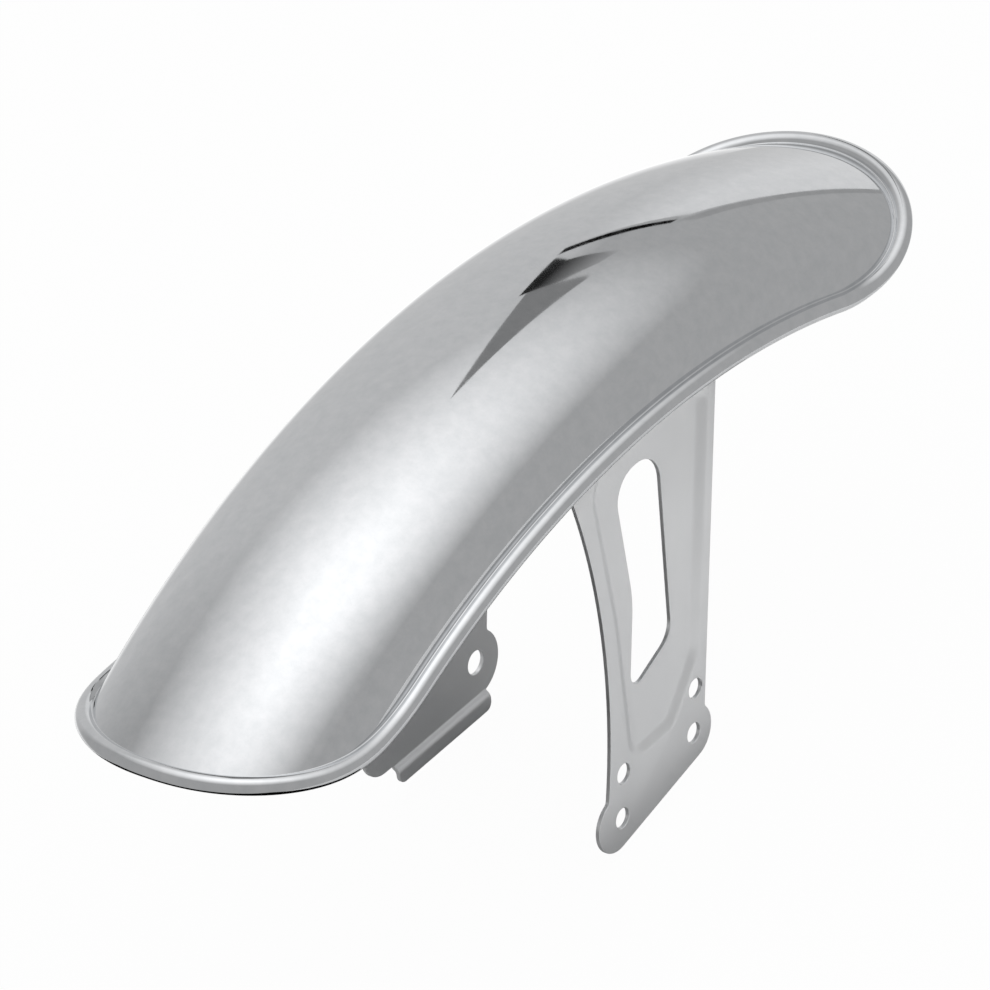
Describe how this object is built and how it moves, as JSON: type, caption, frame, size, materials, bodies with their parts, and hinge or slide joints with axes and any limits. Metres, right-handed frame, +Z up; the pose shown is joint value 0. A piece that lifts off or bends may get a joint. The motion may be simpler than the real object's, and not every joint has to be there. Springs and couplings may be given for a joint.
{
  "type": "motorcycle front mudguard",
  "caption": "Chromed motorcycle front mudguard: an arched blade with a rolled rim, welded to pressed plate stays that bolt to the fork legs.",
  "frame": {"origin": "midway between the two stays, on the line through their rear lower bolt holes", "axes": "+X forwards, +Y to the rider's left, +Z up; the middle of the arch is straight up from the wheel's axis"},
  "size_m": [0.3808, 0.1042, 0.1812],
  "materials": {
    "blade_chrome": "mirror chrome on steel",
    "stay_plating": "satin chrome on pressed steel"
  },
  "bodies": {
    "root": {"guard_blade": "blade_chrome", "left_stay": "stay_plating", "right_stay": "stay_plating"}
  },
  "joints": []
}
